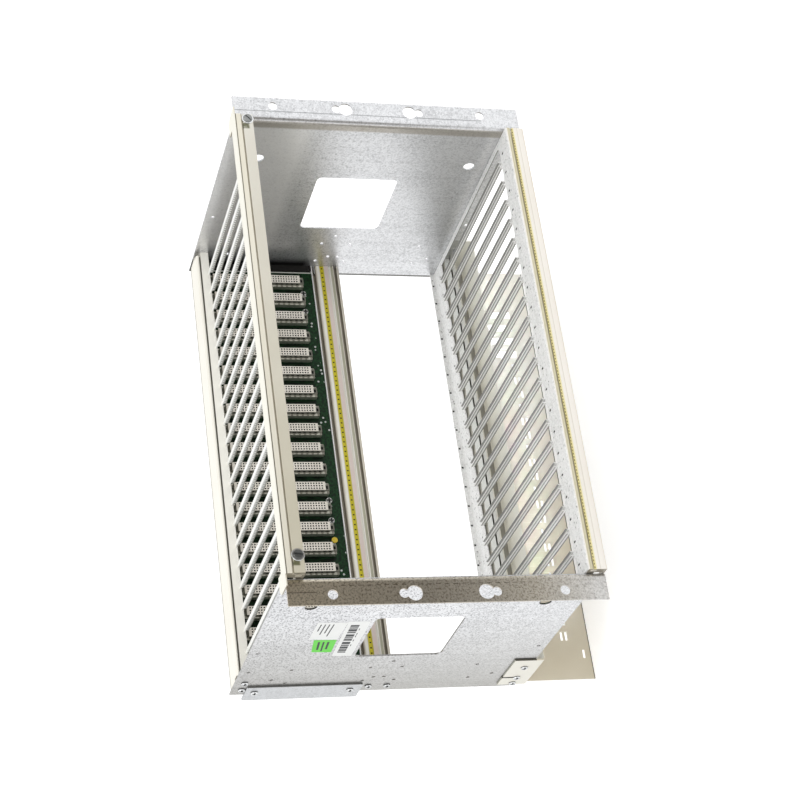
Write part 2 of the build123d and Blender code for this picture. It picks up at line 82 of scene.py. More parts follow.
def flat(corners, count=1):
    # A four-sided face through its corners, split into count faces along its first side.
    corners = np.asarray(corners, float)
    share = np.linspace(0, 1, count + 1)[:, None]
    near = corners[0] + share * (corners[1] - corners[0])
    far = corners[3] + share * (corners[2] - corners[3])
    k = np.arange(count)
    faces = np.stack([k, k + 1, k + count + 2, k + count + 1], 1)
    return np.concatenate([near, far]), faces, np.zeros(count, int)


def recessGrid(origin, alongU, alongV, counts, holes, depth):
    # A flat panel of counts[0] x counts[1] cells, each with a rectangular recess that takes holes[0] x
    # holes[1] of its cell and goes depth against U x V. The panel has finish 0, the recesses have 1.
    origin, alongU, alongV = (np.asarray(v, float) for v in (origin, alongU, alongV))
    inward = -np.cross(alongU, alongV)
    inward = inward / np.linalg.norm(inward) * depth
    u, v = np.meshgrid(np.arange(counts[0]), np.arange(counts[1]), indexing="ij")
    corners = np.array([[0, 0], [1, 0], [1, 1], [0, 1]], float)
    inner = 0.5 + (corners - 0.5) * np.array(holes)
    cell = np.concatenate([corners, inner, inner])
    sunk = np.repeat([0.0, 0.0, 1.0], 4)
    cu = (u.reshape(-1, 1) + cell[None, :, 0]) / counts[0]
    cv = (v.reshape(-1, 1) + cell[None, :, 1]) / counts[1]
    points = origin + cu[..., None] * alongU + cv[..., None] * alongV + sunk[None, :, None] * inward
    a = np.arange(4)
    b = (a + 1) % 4
    border = np.stack([a, b, b + 4, a + 4], 1)
    wall = np.stack([a + 4, b + 4, b + 8, a + 8], 1)
    one = np.concatenate([border, wall, [[8, 9, 10, 11]]])
    faces = (one[None] + 12 * np.arange(len(cu))[:, None, None]).reshape(-1, 4)
    finish = np.tile(np.repeat([0, 1], [4, 5]), len(cu))
    return points.reshape(-1, 3), faces, finish


def recessBar(s):
    # A bar that faces -Y between x = -reach and reach: one row of recesses in front, closed by four
    # sides and a back that are split at the same places.
    x, z0, z1, count = s["reach"], s["low"], s["high"], s["count"]
    front, back = s["front"], s["back"]
    parts = [recessGrid([-x, front, z0], [2 * x, 0, 0], [0, 0, z1 - z0], (count, 1), s["hole"], s["depth"])]
    corners = [(-x, z0), (x, z0), (x, z1), (-x, z1)]
    for (xa, za), (xb, zb) in zip(corners, corners[1:] + corners[:1]):
        side = [[xa, back, za], [xb, back, zb], [xb, front, zb], [xa, front, za]]
        parts.append(flat(side, count if za == zb else 1))
    parts.append(flat([[x, back, z0], [-x, back, z0], [-x, back, z1], [x, back, z1]], count))
    return join(*parts)


def turned(profile, segments, recess=None):
    # Turns rows of (radius, height, share of the recess) about their axis: x = r cos a, y = r sin a,
    # and height falls by share * recess(x, y).
    profile = np.asarray(profile, float)
    angle = np.arange(segments) * 2 * np.pi / segments
    radius = profile[:, 0][:, None]
    x = radius * np.cos(angle)
    y = radius * np.sin(angle)
    height = np.repeat(profile[:, 1][:, None], segments, 1)
    if recess is not None:
        height = height - profile[:, 2][:, None] * recess(x, y)
    points = np.stack([x, y, height], -1).reshape(-1, 3)
    row, col = np.meshgrid(np.arange(len(profile) - 1), np.arange(segments), indexing="ij")
    after = (col + 1) % segments
    faces = np.stack([row * segments + col, (row + 1) * segments + col,
                      (row + 1) * segments + after, row * segments + after], -1).reshape(-1, 4)
    return points, faces, np.zeros(len(faces), int)


def makePiece(name, shape, materials, smooth=None):
    # Puts the arrays into a mesh in metres, welds points that coincide and drops corners that fall
    # together. Edges sharper than the angle smooth stay sharp.
    points, faces, finishes = shape
    key = np.round(points * 1e4).astype(np.int64)
    _, first, index = np.unique(key, axis=0, return_index=True, return_inverse=True)
    points = points[first] * mm
    faces = index.reshape(-1)[faces]
    mesh = bpy.data.meshes.new(name)
    cleaned = [list(dict.fromkeys(face)) for face in faces.tolist()]
    keep = [i for i, face in enumerate(cleaned) if len(face) > 2]
    mesh.from_pydata(points.tolist(), [], [cleaned[i] for i in keep])
    for material in materials:
        mesh.materials.append(material)
    mesh.polygons.foreach_set("material_index", finishes[keep].astype(np.int32))
    if smooth:
        mesh.shade_smooth()
        mesh.set_sharp_from_angle(angle=smooth)
    mesh.update()
    piece = bpy.data.objects.new(name, mesh)
    bpy.context.collection.objects.link(piece)
    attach(piece, "root")
    return piece


class Finish:
    # One node material. add() makes a node, sets its inputs and returns it.
    def __init__(self, name, roughness=0.5, metallic=0.0, specular=0.5):
        self.material = bpy.data.materials.new(name)
        self.material.use_nodes = True
        self.tree = self.material.node_tree
        self.shader = self.tree.nodes["Principled BSDF"]
        self.shader.inputs["Roughness"].default_value = roughness
        self.shader.inputs["Metallic"].default_value = metallic
        self.shader.inputs["Specular IOR Level"].default_value = specular
        source = self.tree.nodes.new("ShaderNodeTexCoord")
        self.place = (source, "Object")
        self.facing = (source, "Normal")
        self.axes = self.add("SeparateXYZ", n0=self.place)
        self.sides = None

    def put(self, socket, value):
        # Links the first output of a node, or the output of a (node, name) pair, or sets a value.
        if isinstance(value, tuple) and len(value) == 2 and not isinstance(value[0], (int, float)):
            self.tree.links.new(value[0].outputs[value[1]], socket)
        elif isinstance(value, bpy.types.Node):
            self.tree.links.new(value.outputs[0], socket)
        else:
            socket.default_value = value

    def add(self, kind, settings=None, **inputs):
        # Inputs go by name, or as n0, n1 and so on by number.
        node = self.tree.nodes.new("ShaderNode" + kind)
        for key, value in (settings or {}).items():
            setattr(node, key, value)
        for key, value in inputs.items():
            socket = node.inputs[int(key[1:])] if key[0] == "n" and key[1:].isdigit() else node.inputs[key]
            self.put(socket, value)
        return node

    def math(self, operation, a, b=0.0, c=0.0):
        # One sum on numbers or nodes; MULTIPLY_ADD is a * b + c.
        return self.add("Math", {"operation": operation}, n0=a, n1=b, n2=c)

    def noise(self, scale, detail=2.0, stretch=(1, 1, 1), roughness=0.5):
        # Noise at the place times stretch, so a larger number draws it finer along that axis.
        place = self.place
        if stretch != (1, 1, 1):
            place = self.add("Mapping", n0=place, Scale=stretch)
        return self.add("TexNoise", Vector=place, Scale=scale, Detail=detail, Roughness=roughness)

    def cells(self, scale):
        # A random grey for each cell of a cellular pattern, and the distance from the cell's centre.
        node = self.add("TexVoronoi", Vector=self.place, Scale=scale)
        return (self.add("SeparateColor", n0=(node, "Color")), "Red"), (node, "Distance")

    def span(self, value, low, high, toLow=0.0, toHigh=1.0):
        # Maps low..high to toLow..toHigh, clamped.
        node = self.add("MapRange", n0=value, n1=low, n2=high, n3=toLow, n4=toHigh)
        node.clamp = True
        return node

    def within(self, value, low, high, soft):
        # 1 between low and high, falling to 0 over soft on both sides: |value - middle| - half width.
        away = self.math("ABSOLUTE", self.math("SUBTRACT", value, (low + high) / 2))
        half = (high - low) / 2
        return self.span(away, half, half + soft, 1.0, 0.0)

    def along(self, letter, low, high, toLow=0.0, toHigh=1.0):
        # The place along an axis, low..high in millimetres, mapped to toLow..toHigh.
        return self.span((self.axes, letter.upper()), low * mm, high * mm, toLow, toHigh)

    def zone(self, soft=0.3, **limits):
        # 1 inside a box given in millimetres as x=(low, high) and so on, 0 outside.
        mask = None
        for letter, (low, high) in limits.items():
            part = self.within((self.axes, letter.upper()), low * mm, high * mm, soft * mm)
            mask = part if mask is None else self.math("MULTIPLY", mask, part)
        return mask

    def rows(self, letter, pitch, start, low, high, soft=0.05):
        # 1 where the place along an axis, counted in pitches from start, has its fraction in low..high.
        turns = self.math("MULTIPLY_ADD", (self.axes, letter.upper()), 1 / (pitch * mm), -start / pitch)
        return self.within(self.math("FRACT", turns), low, high, soft)

    def turnedTo(self, letter, sign=0):
        # 1 on faces that look along an axis; sign 0 takes both ways.
        if self.sides is None:
            self.sides = self.add("SeparateXYZ", n0=self.facing)
        value = (self.sides, letter.upper())
        value = self.math("ABSOLUTE", value) if sign == 0 else self.math("MULTIPLY", value, sign)
        return self.span(value, 0.75, 0.9)

    def both(self, *masks):
        # The product of the masks: 1 only where all of them are.
        mask = masks[0]
        for other in masks[1:]:
            mask = self.math("MULTIPLY", mask, other)
        return mask

    def blend(self, factor, a, b):
        # a where the factor is 0, b where it is 1.
        node = self.add("Mix", {"data_type": "RGBA"})
        self.put(node.inputs[0], factor)
        self.put(node.inputs[6], a)
        self.put(node.inputs[7], b)
        return (node, 2)

    def mark(self, color, mask, tone, strength=1.0):
        # Lays a tone over a colour where the mask is 1.
        return self.blend(self.math("MULTIPLY", mask, strength), color, rgb(tone))

    def marks(self, color, table, *masks):
        # Lays one tone after another: each row is (tone, strength, soft, limits of its zone), and its
        # zone is multiplied by the masks.
        for tone, strength, soft, limits in table.values():
            color = self.mark(color, self.both(self.zone(soft, **limits), *masks), tone, strength)
        return color

    def clouds(self, scale=14, detail=4):
        # Slow changes of tone between 0 and 1.
        return self.span(self.noise(scale, detail), 0.3, 0.7)

    def color(self, value):
        self.put(self.shader.inputs["Base Color"], value)

    def rough(self, value):
        self.put(self.shader.inputs["Roughness"], value)

    def bump(self, height, distance, strength=1.0):
        # A bump of the surface as deep as the distance, in metres.
        node = self.add("Bump", Height=height, Distance=distance, Strength=strength)
        self.tree.links.new(node.outputs["Normal"], self.shader.inputs["Normal"])

    def peel(self):
        # The faint orange peel of a painted or moulded surface.
        self.bump(self.noise(1400, 2), 0.00004, 0.4)


def rgb(text):
    # A colour written as the picture shows it, turned into linear light.
    value = np.array([int(text[i:i + 2], 16) for i in (0, 2, 4)]) / 255
    linear = np.where(value <= 0.04045, value / 12.92, ((value + 0.055) / 1.055) ** 2.4)
    return (*linear.tolist(), 1.0)


def zincColor(finish, light, dark, grain, streak):
    # Zinc bloom: random cells, fine noise, slow clouds and streaks, added with shares of 0.2, 0.6,
    # 0.25 and 0.2, and blended between two greys.
    grey, _ = finish.cells(grain)
    fine = finish.noise(850, 3, roughness=0.65)
    cloud = finish.noise(16, 3)
    lines = finish.noise(1, 3, streak)
    small = finish.math("MULTIPLY_ADD", grey, 0.2, finish.math("MULTIPLY", fine, 0.6))
    large = finish.math("MULTIPLY_ADD", cloud, 0.25, finish.math("MULTIPLY", lines, 0.2))
    mixed = finish.math("ADD", small, large)
    return finish.blend(finish.span(mixed, 0.42, 0.72), rgb(dark), rgb(light)), mixed, fine


def zincSpecks(finish, color, scale, share, tone, strength=0.85):
    # Small dark pits: near a cell's centre, and only in the few cells whose grey is below the share.
    grey, distance = finish.cells(scale)
    pit = finish.both(finish.span(distance, 0.15, 0.45, 1.0, 0.0), finish.math("LESS_THAN", grey, share))
    return finish.mark(color, pit, tone, strength)


plate = {
    "zinc": ("dbdcde", "b2b3b5", 620, (12, 240, 14)),
    "pits": [(300, 0.14, "5f6064"), (520, 0.5, "5c5d61")],
    "ear": {"x": (-245, -219.6), "y": (-2, 2.4)},
    "dashes": {"x": (-225.5, -225.0), "y": (-1, 0.4), "z": (-68, 90)},
    "dashPitch": 7,
    "liftHoles": {"x": (-219, -216.5), "y": (51, 63)},
    "liftHeight": 99.1,
    "liftEdge": (6, 6.5),
    # The right plate's inner face: a painted highlight at the top, painted shade at the fold and in the
    # rear corner.
    "insideMarks": {
        "paintedTopHighlight": ("ffffff", 0.6, 12.0, {"y": (14, 200), "z": (66, 130)}),
        "fold": ("948a78", 0.6, 2.0, {"y": (0, 10)}),
        "darkCorner": ("1f1f1c", 0.97, 12.0, {"y": (228, 248), "z": (22, 132)}),
    },
    "marks": {
        # Painted shade on the plate behind the tab's slot.
        "slotInTab": ("2c2920", 0.95, 0.4, {"x": (-219, -218.5), "y": (220, 226), "z": (-127, -111.5)}),
        # Painted shadow on the plate beside the tab.
        "besideTab": ("45433b", 0.85, 0.4, {"x": (-219, -218.5), "y": (180.6, 182.8), "z": (-131, -111)}),
        "leftRearEdge": ("4a4943", 0.8, 0.3, {"x": (-219, -216.5), "y": (245.4, 247), "z": (-131, -92)}),
        "rightScore": ("7f8183", 0.75, 0.25, {"x": (226.6, 227.2), "y": (-1, 0.4), "z": (-96, 131.4)}),
        "leftScore": ("6f6a60", 0.8, 0.25, {"x": (-230.8, -230.3), "y": (-1, 0.4), "z": (108, 131)}),
        "rightRearEdge": ("4d4c47", 0.85, 0.3, {"x": (216, 219), "y": (243.8, 247)}),
        # Painted shade on the right plate under the guide sheet.
        "belowSheet": ("8f8e86", 0.5, 0.3, {"x": (217, 217.6), "y": (180, 247), "z": (-131.5, -119)}),
    },
}


def platePaint():
    # Side plates: bright zinc sheet with pits, die marks on the ears and a dark cut edge at the rear.
    # The left ear is tinted brown as a painted reflection, with dark grains; the right plate's inner face
    # has a painted highlight at the top. Painted shade darkens the left plate towards the rear and lies in
    # the tab's slot, beside the tab, under the guide sheet and at the right plate's fold and rear corner.
    s = plate
    finish = Finish("galvanised_sheet", 0.36, 0.82)
    color, mixed, fine = zincColor(finish, *s["zinc"])
    pitted = finish.both(finish.along("x", -100, 100, 0.95, 0.3), finish.along("z", -110, 50, 0.55, 1.0))
    for scale, share, tone in s["pits"]:
        color = zincSpecks(finish, color, scale, share, tone, pitted)
    # Painted shade: the left plate grows darker towards the rear.
    rear = finish.both(finish.along("y", 80, 240, 0.0, 0.8), finish.along("x", -210, -200, 1.0, 0.0))
    color = finish.mark(color, rear, "8f8d86", 0.9)
    # Painted reflection: the left ear is tinted brown, paler towards its top; the dark grains are the
    # sheet's own.
    ear = finish.both(finish.zone(0.5, **s["ear"]), finish.along("z", -125, -70, 0.35, 1.0))
    color = finish.mark(color, ear, "aea592", 0.75)
    color = finish.mark(color, finish.both(ear, finish.along("z", 20, 130)), "e6dcc6", 0.6)
    grains = finish.span(finish.noise(560, 2, roughness=0.7), 0.38, 0.52, 1.0, 0.0)
    color = finish.mark(color, finish.both(ear, grains), "453d30", 0.55)
    dashes = finish.both(finish.zone(0.15, **s["dashes"]), finish.rows("z", s["dashPitch"], 0, 0.1, 0.6))
    color = finish.mark(color, dashes, "3f382c", 0.7)
    # Painted light and shade on the right plate's inner face.
    inside = finish.both(finish.turnedTo("x", -1), finish.along("x", 200, 210))
    color = finish.marks(color, s["insideMarks"], inside)
    rise = finish.math("SUBTRACT", finish.math("ABSOLUTE", (finish.axes, "Z")), s["liftHeight"] * mm)
    near = finish.span(finish.math("ABSOLUTE", rise), *[edge * mm for edge in s["liftEdge"]], 1.0, 0.0)
    wall = finish.both(finish.zone(0.3, **s["liftHoles"]), near)
    side = finish.math("SUBTRACT", 1.0, finish.turnedTo("x"))
    color = finish.mark(color, finish.both(wall, side), "35332d", 0.95)
    finish.color(finish.marks(color, s["marks"]))
    finish.rough(finish.span(mixed, 0.3, 0.85, 0.42, 0.3))
    finish.bump(fine, 0.00005, 0.3)
    return finish.material


def stripZinc():
    # Rear strips: the same sheet, a little greyer, with a shadowed front edge.
    finish = Finish("strip_zinc", 0.38, 0.75)
    color, _, fine = zincColor(finish, "c0c2c4", "a3a5a6", 620, (12, 14, 240))
    finish.color(finish.mark(color, finish.zone(0.3, y=(226.5, 227.6)), "55544f", 0.8))
    finish.bump(fine, 0.00005, 0.3)
    return finish.material


ribs = {
    # Rib sides: pale flanks, and painted shade in a grey band near the top and at the foot.
    "sides": {
        "flank": ("f0f0ee", 0.95, 0.1, {"y": (17, 217.5), "z": (-116, -112.2)}),
        "upper": ("9c9c99", 0.9, 0.15, {"y": (17, 217.5), "z": (-113.7, -112.5)}),
        "foot": ("6a6961", 0.8, 0.3, {"y": (17, 217.5), "z": (-117, -115.5)}),
    },
    "edge": {"y": (17, 217.5), "z": (-112.4, -112.2)},
    "pitch": 20.32,
    "first": 193.0,
}


def guideSheet():
    # Lower guide sheet: pale zinc. Each rib has pale sides, with painted shade in a grey band near the top
    # and at the foot; of its two upper edges one has a painted highlight and the other painted shade.
    s = ribs
    finish = Finish("guide_sheet_zinc", 0.42, 0.1)
    color, _, fine = zincColor(finish, "fafaf9", "d8d9d6", 700, (14, 420, 14))
    color = zincSpecks(finish, color, 420, 0.12, "8a8b88")
    color = finish.marks(color, s["sides"], finish.turnedTo("x"))
    # Painted highlight on both upper edges of each rib, then painted shade on one of them.
    edge = finish.zone(0.1, **s["edge"])
    color = finish.mark(color, edge, "f4f4f0", 1.0)
    dark = finish.both(edge, finish.rows("x", s["pitch"], s["first"], 0.04, 0.16, 0.01))
    finish.color(finish.mark(color, dark, "7c7c77", 0.9))
    finish.bump(fine, 0.00005, 0.3)
    return finish.material


def upperGuide():
    # Upper guides: white channels with a row of small dark nicks low on each side, grey below it.
    finish = Finish("guide_white", 0.4, 0.1)
    color = finish.blend(finish.clouds(40, 3), rgb("ebece8"), rgb("f6f6f3"))
    side = finish.turnedTo("x")
    color = finish.mark(color, finish.both(side, finish.zone(0.1, z=(116, 117.7))), "a6a69e", 1.0)
    nick = finish.both(side, finish.zone(0.1, z=(117.6, 119.2)), finish.rows("y", 3.1, 0, 0.25, 0.65))
    finish.color(finish.mark(color, nick, "55534c", 0.6))
    finish.bump(finish.noise(900, 2), 0.00003, 0.4)
    return finish.material


def railBase(name, light, dark, roughness=0.38, metallic=0.1):
    # Drawn aluminium: fine lines along X over slow changes of tone; the ends, which face along X, are
    # darkened with painted shade.
    finish = Finish(name, roughness, metallic)
    lines = finish.noise(1, 3, (2, 2600, 2600))
    tone = finish.math("MULTIPLY_ADD", lines, 0.55, finish.math("MULTIPLY", finish.noise(9, 3), 0.45))
    color = finish.blend(finish.span(tone, 0.35, 0.65), rgb(dark), rgb(light))
    finish.bump(lines, 0.00003, 0.5)
    return finish, finish.mark(color, finish.turnedTo("x"), "8f8775", 0.85)


# Painted shade: a line in the groove under the lip and one in the gap above the cover strip.
topFrontMarks = {
    "lipLine": ("6f6a5c", 0.9, 0.15, {"y": (-8, -6.6), "z": (131.2, 131.9)}),
    "coverLine": ("8b826c", 0.8, 0.2, {"y": (-8, -6.9), "z": (126.5, 127.0)}),
}


def topFrontRail():
    # Cream, with a pale upper face and two thin lines of painted shade along the lip.
    finish, color = railBase("cream_rail_top", "f1eddf", "e6e0cd")
    upper = finish.both(finish.turnedTo("z", 1), finish.zone(0.2, z=(132, 133)))
    color = finish.mark(color, upper, "ebe9dd", 0.95)
    finish.color(finish.marks(color, topFrontMarks))
    return finish.material


bottomFrontMarks = {
    "beigeBand": ("cdc6a4", 0.9, 0.3, {"z": (-120.2, -117.6)}),
    # Painted highlight on the lower lip of the nut slot.
    "yellowLine": ("f3e9b4", 0.9, 0.3, {"z": (-123.2, -122.4)}),
    "thinLine": ("d9d2c2", 0.8, 0.2, {"z": (-126.6, -126.3)}),
}


def bottomFrontRail():
    # From inside out: beige up to the slot, a pale yellow line that is a painted highlight on the slot's
    # lower lip, pinkish white with a thin line.
    finish, color = railBase("cream_rail_bottom", "fbf7f0", "f2ece1")
    finish.color(finish.marks(color, bottomFrontMarks, finish.zone(0.2, y=(-5.2, -4.4))))
    return finish.material


# Painted shade in both slots, and a dark line at the back of the upper rail.
rearLines = {
    "upperBack": ("77756c", 0.85, 0.3, {"y": (241.4, 244), "z": (129, 131)}),
    "upperSlot": ("6a675a", 0.95, 0.2, {"y": (211, 216.5), "z": (126.3, 127.7)}),
    "lowerSlot": ("4a4840", 0.95, 0.2, {"y": (211, 216.5), "z": (-125.3, -123.7)}),
}
# Painted light: the front faces are made paler.
rearFaces = {
    "upper": ("fbf9f0", 0.95, 0.2, {"z": (118, 126.1)}),
    "lower": ("e4e5e2", 0.9, 0.3, {"z": (-130.4, -125.4)}),
    "inner": ("f7f9f7", 0.95, 0.3, {"z": (-123.6, -118)}),
}


def rearRails():
    # Cream, with painted shade in the slots, a dark line at the back of the upper rail, and front faces
    # made paler with painted light.
    finish, color = railBase("cream_rail_rear", "f3f1e8", "e8e4d8")
    color = finish.marks(color, rearLines)
    front = finish.both(finish.turnedTo("y"), finish.zone(0.3, y=(212.5, 213.5)))
    finish.color(finish.marks(color, rearFaces, front))
    return finish.material


# Painted highlights on the rib and the bright line; painted shade under the rib and in the band beside the
# lower groove.
middleBands = {
    "rib": ("ffffff", 0.9, 0.2, {"z": (12.6, 13.8)}),
    "underRib": ("8f8776", 0.8, 0.2, {"z": (8.6, 9.4)}),
    "creamRidge": ("f7f5ec", 0.9, 0.3, {"z": (5.4, 7.4)}),
    "behindStrip": ("cfc21c", 0.9, 0.15, {"z": (0.5, 4.7)}),
    "pinkRidge": ("e2cfcb", 0.7, 0.4, {"z": (-3.4, 0.0)}),
    "brightLine": ("fcfbf6", 0.9, 0.2, {"z": (-5.8, -4.6)}),
    "lowerGrooveShade": ("a3a28a", 0.8, 0.3, {"z": (-8.6, -6.6)}),
}
# Painted shade on the floor of both grooves.
middleGrooves = {
    "upper": ("928b7b", 0.85, 0.2, {"y": (233, 239), "z": (9.4, 12.4)}),
    "lower": ("928b7b", 0.85, 0.2, {"y": (233, 239), "z": (-12.4, -9.4)}),
}


def middleRail():
    # Bands down the front, painted highlights and painted shade among them, and painted shade on the floor
    # of both grooves.
    finish, color = railBase("plain_rail", "ebe6d9", "d9d3c4", 0.4, 0.15)
    color = finish.marks(color, middleBands, finish.zone(0.3, y=(230, 236)))
    finish.color(finish.marks(color, middleGrooves))
    return finish.material


def painted(name, light, dark, roughness=0.45, grain=1400, metallic=0.0):
    # Smooth paint with a faint orange peel and slow changes of tone.
    finish = Finish(name, roughness, metallic)
    finish.color(finish.blend(finish.clouds(), rgb(dark), rgb(light)))
    finish.rough(finish.span(finish.noise(60, 3), 0.3, 0.7, roughness - 0.06, roughness + 0.08))
    finish.bump(finish.noise(grain, 2), 0.00004, 0.4)
    return finish.material


# Painted shadows: an olive patch beside each screw.
screwShadowMarks = {
    "left": ("55562f", 0.9, 1.2, {"x": (-210.2, -205.4), "z": (120.8, 126)}),
    "right": ("55562f", 0.9, 1.2, {"x": (202.4, 206.8), "z": (120.8, 126)}),
}


def coverPaint():
    # Beige paint, paler towards +X, with painted shade on its ends and an olive painted shadow beside each
    # screw.
    finish = Finish("cover_paint", 0.42)
    tone = finish.clouds()
    near = finish.blend(tone, rgb("c6c0ab"), rgb("d1cbb8"))
    far = finish.blend(tone, rgb("dedacd"), rgb("e7e4d9"))
    color = finish.blend(finish.along("x", -160, 200), near, far)
    # Painted shade on the ends of the strip.
    color = finish.mark(color, finish.turnedTo("x"), "7f7867", 0.9)
    patchy = finish.span(finish.noise(220, 3), 0.25, 0.45)
    finish.color(finish.marks(color, screwShadowMarks, patchy))
    finish.peel()
    return finish.material


support = {
    "shelfBand": (225.5, 241),
    "marks": {
        # Painted shade in the slot of the tab.
        "tabSlot": ("454238", 0.9, 0.3, {"x": (-222, -219.5), "y": (220.8, 224.6), "z": (-121, -111)}),
        "lowerEdge": ("57534a", 0.85, 0.2, {"z": (-208, -206.2)}),
    },
    "tab": {"x": (-222, -218), "z": (-132, -110)},
    "knockouts": {"y": (236, 239.2), "x": (-176, 116)},
    "pitch": 15,
    "start": 161.7,
    "outer": ((0.2, 0.8), (-187.5, -154)),
    "inner": ((0.24, 0.76), (-186.9, -154.6)),
}


def supportPaint():
    # Sand paint, turning pale towards +X as painted light. The shelf top is painted light with a band of
    # painted shade at its rear, and the tab has painted shade in its slot and on its edges. Each closed
    # knock-out has a pale outline, which is the larger rectangle less the smaller.
    s = support
    finish = Finish("support_paint", 0.5)
    tone = finish.clouds()
    sand = finish.blend(tone, rgb("d9cfb8"), rgb("e4dcc8"))
    # Painted light: the paint turns pale towards +X.
    pale = finish.blend(tone, rgb("fbf9f0"), rgb("fffef8"))
    color = finish.blend(finish.along("x", -190, 100), sand, pale)
    # Painted light on the shelf top, and painted shade on its rear band.
    shelf = finish.both(finish.turnedTo("z", 1), finish.zone(0.5, z=(-140, -130)))
    color = finish.mark(color, shelf, "fffdf3", 0.95)
    color = finish.mark(color, finish.both(shelf, finish.zone(0.6, y=s["shelfBand"])), "75705a", 0.9)
    color = finish.marks(color, s["marks"])
    tab = finish.zone(0.2, **s["tab"])
    # Painted shade on the tab's front and top edges.
    color = finish.mark(color, finish.both(tab, finish.turnedTo("y")), "3b382f", 0.9)
    color = finish.mark(color, finish.both(tab, finish.turnedTo("z", 1)), "a3a398", 0.9)
    color = finish.mark(color, finish.turnedTo("x"), "efede3", 0.9)
    front = finish.zone(0.3, **s["knockouts"])

    def rectangles(share, rise):
        # One rectangle per pitch: a share of the pitch along X, between two heights.
        columns = finish.rows("x", s["pitch"], s["start"], *share, 0.01)
        return finish.both(front, columns, finish.zone(0.2, z=rise))

    outline = finish.math("SUBTRACT", rectangles(*s["outer"]), rectangles(*s["inner"]))
    finish.color(finish.mark(color, outline, "f6f3e8", 0.7))
    finish.peel()
    return finish.material


def boardLacquer():
    # Very dark green lacquer with greener tracks, a pale cut edge and a row of tinned spots below.
    finish = Finish("board_lacquer", 0.45, 0.0, 0.2)
    tracks = finish.span(finish.noise(1, 2, (900, 200, 140)), 0.4, 0.65)
    color = finish.blend(tracks, rgb("08140a"), rgb("123419"))
    fine = finish.span(finish.noise(420, 3), 0.42, 0.62)
    lower = finish.blend(fine, rgb("0b2411"), rgb("184522"))
    color = finish.blend(finish.along("z", 24.5, 22.5), color, lower)
    color = finish.mark(color, finish.zone(0.2, x=(209.4, 211)), "e6e7df", 0.9)
    grey, distance = finish.cells(230)
    spot = finish.both(finish.math("LESS_THAN", distance, 0.24), finish.math("LESS_THAN", grey, 0.3),
                       finish.zone(1.0, z=(14, 23)))
    finish.color(finish.mark(color, spot, "d8dad8", 0.9))
    return finish.material


# Painted shade on the side walls, the ledge and the foot.
socketMarks = {
    "wall": ("77766b", 1.0, 0.1, {"y": (222.9, 227.6)}),
    "ledge": ("918e82", 1.0, 0.1, {"y": (227.9, 228.2)}),
    "foot": ("7f8677", 1.0, 0.1, {"y": (228.4, 234)}),
}


def socketFinish():
    # Pale face; the side walls, the ledge and the grey-green foot are darkened with painted shade; pale
    # dashes every 5 mm on the ledge.
    finish = Finish("socket_plastic", 0.5)
    color = finish.blend(finish.clouds(60, 3), rgb("e6e0d4"), rgb("f0ebe1"))
    color = finish.marks(color, socketMarks)
    dash = finish.both(finish.zone(0.1, y=(227.9, 228.2)), finish.rows("z", 5.08, 0, 0.2, 0.75))
    finish.color(finish.mark(color, dash, "d6d4c8", 1.0))
    finish.peel()
    return finish.material


print("materials")
steelSheet = platePaint()
screwZinc = painted("screw_zinc", "e4e5e6", "c4c6c6", 0.3, 2500, 0.75)
# Painted shade in the crosses and on the rims of screw heads.
screwDark = painted("screw_dark", "2a2a28", "1c1c1a", 0.6, 2500)
# Painted light: paler and less metallic than zinc, so that the studs stay bright in shade.
studBright = painted("stud_bright", "fafaf8", "c8c8c4", 0.3, 2500, 0.2)
# Painted sheen: light and dark greys in clouds stand in for streaks of light on the cover screw heads.
screwSheen = painted("screw_sheen", "9b9d9c", "3f4241", 0.35, 900, 0.5)
# Near black: painted shade in holes, slots, notches and gaps, and the print of the position marks.
darkHollow = painted("dark_hollow", "171512", "0f0d0b", 0.8)
stripYellow = painted("strip_yellow", "d8cc20", "c9bb18", 0.5)
labelWhite = painted("label_white", "f2f3f1", "e9ebe9", 0.5)
labelGreen = painted("label_green", "6bdc46", "5cd03a", 0.5)
labelInk = painted("label_ink", "3a3c3e", "2c2e2f", 0.6)
socketPlastic = socketFinish()
tappedPaint = painted("tapped_strip", "f1e6a8", "dccf8c", 0.5)
whiteGuide = upperGuide()
railRear = rearRails()

nodeFinish = {
    "left_side_plate": steelSheet,
    "right_side_plate": steelSheet,
    "top_front_rail": topFrontRail(),
    "bottom_front_rail": bottomFrontRail(),
    "top_rear_rail": railRear,
    "bottom_rear_rail": railRear,
    "middle_rear_rail": middleRail(),
    "backplane_board": boardLacquer(),
    "bottom_guide_plate": guideSheet(),
    "cover_strip": coverPaint(),
    "cable_support_plate": supportPaint(),
    "left_rear_strip": stripZinc(),
    "brass_stud": painted("stud_brass", "c9b24a", "a8912f", 0.3, 2500, 0.9),
}
nodeFinish["right_rear_strip"] = nodeFinish["left_rear_strip"]
for name, node in nodes.items():
    finish = whiteGuide if name.startswith("top_guide") else nodeFinish.get(name)
    if finish:
        node.data.materials.clear()
        node.data.materials.append(finish)


sockets = {
    "count": 21,
    "pitch": 20.32,
    "first": 195.5,
    "top": 118.1,
    "bottom": 24.2,
    "end": 4.45,
    "boardFace": 233.5,
    "foot": (10.6, 5.5),
    "face": (8.3, 11.1),
    "ear": (6.0, 7.4),
    "rows": (3, 32),
    "contact": 2.54,
    "contactHole": (0.54, 0.54),
    "contactDepth": 2.2,
    "slots": 17,
    "slot": (0.3, 0.5),
    "slotDepth": 0.7,
    "notch": (0.5, 0.45),
    "notchDepth": 1.2,
}


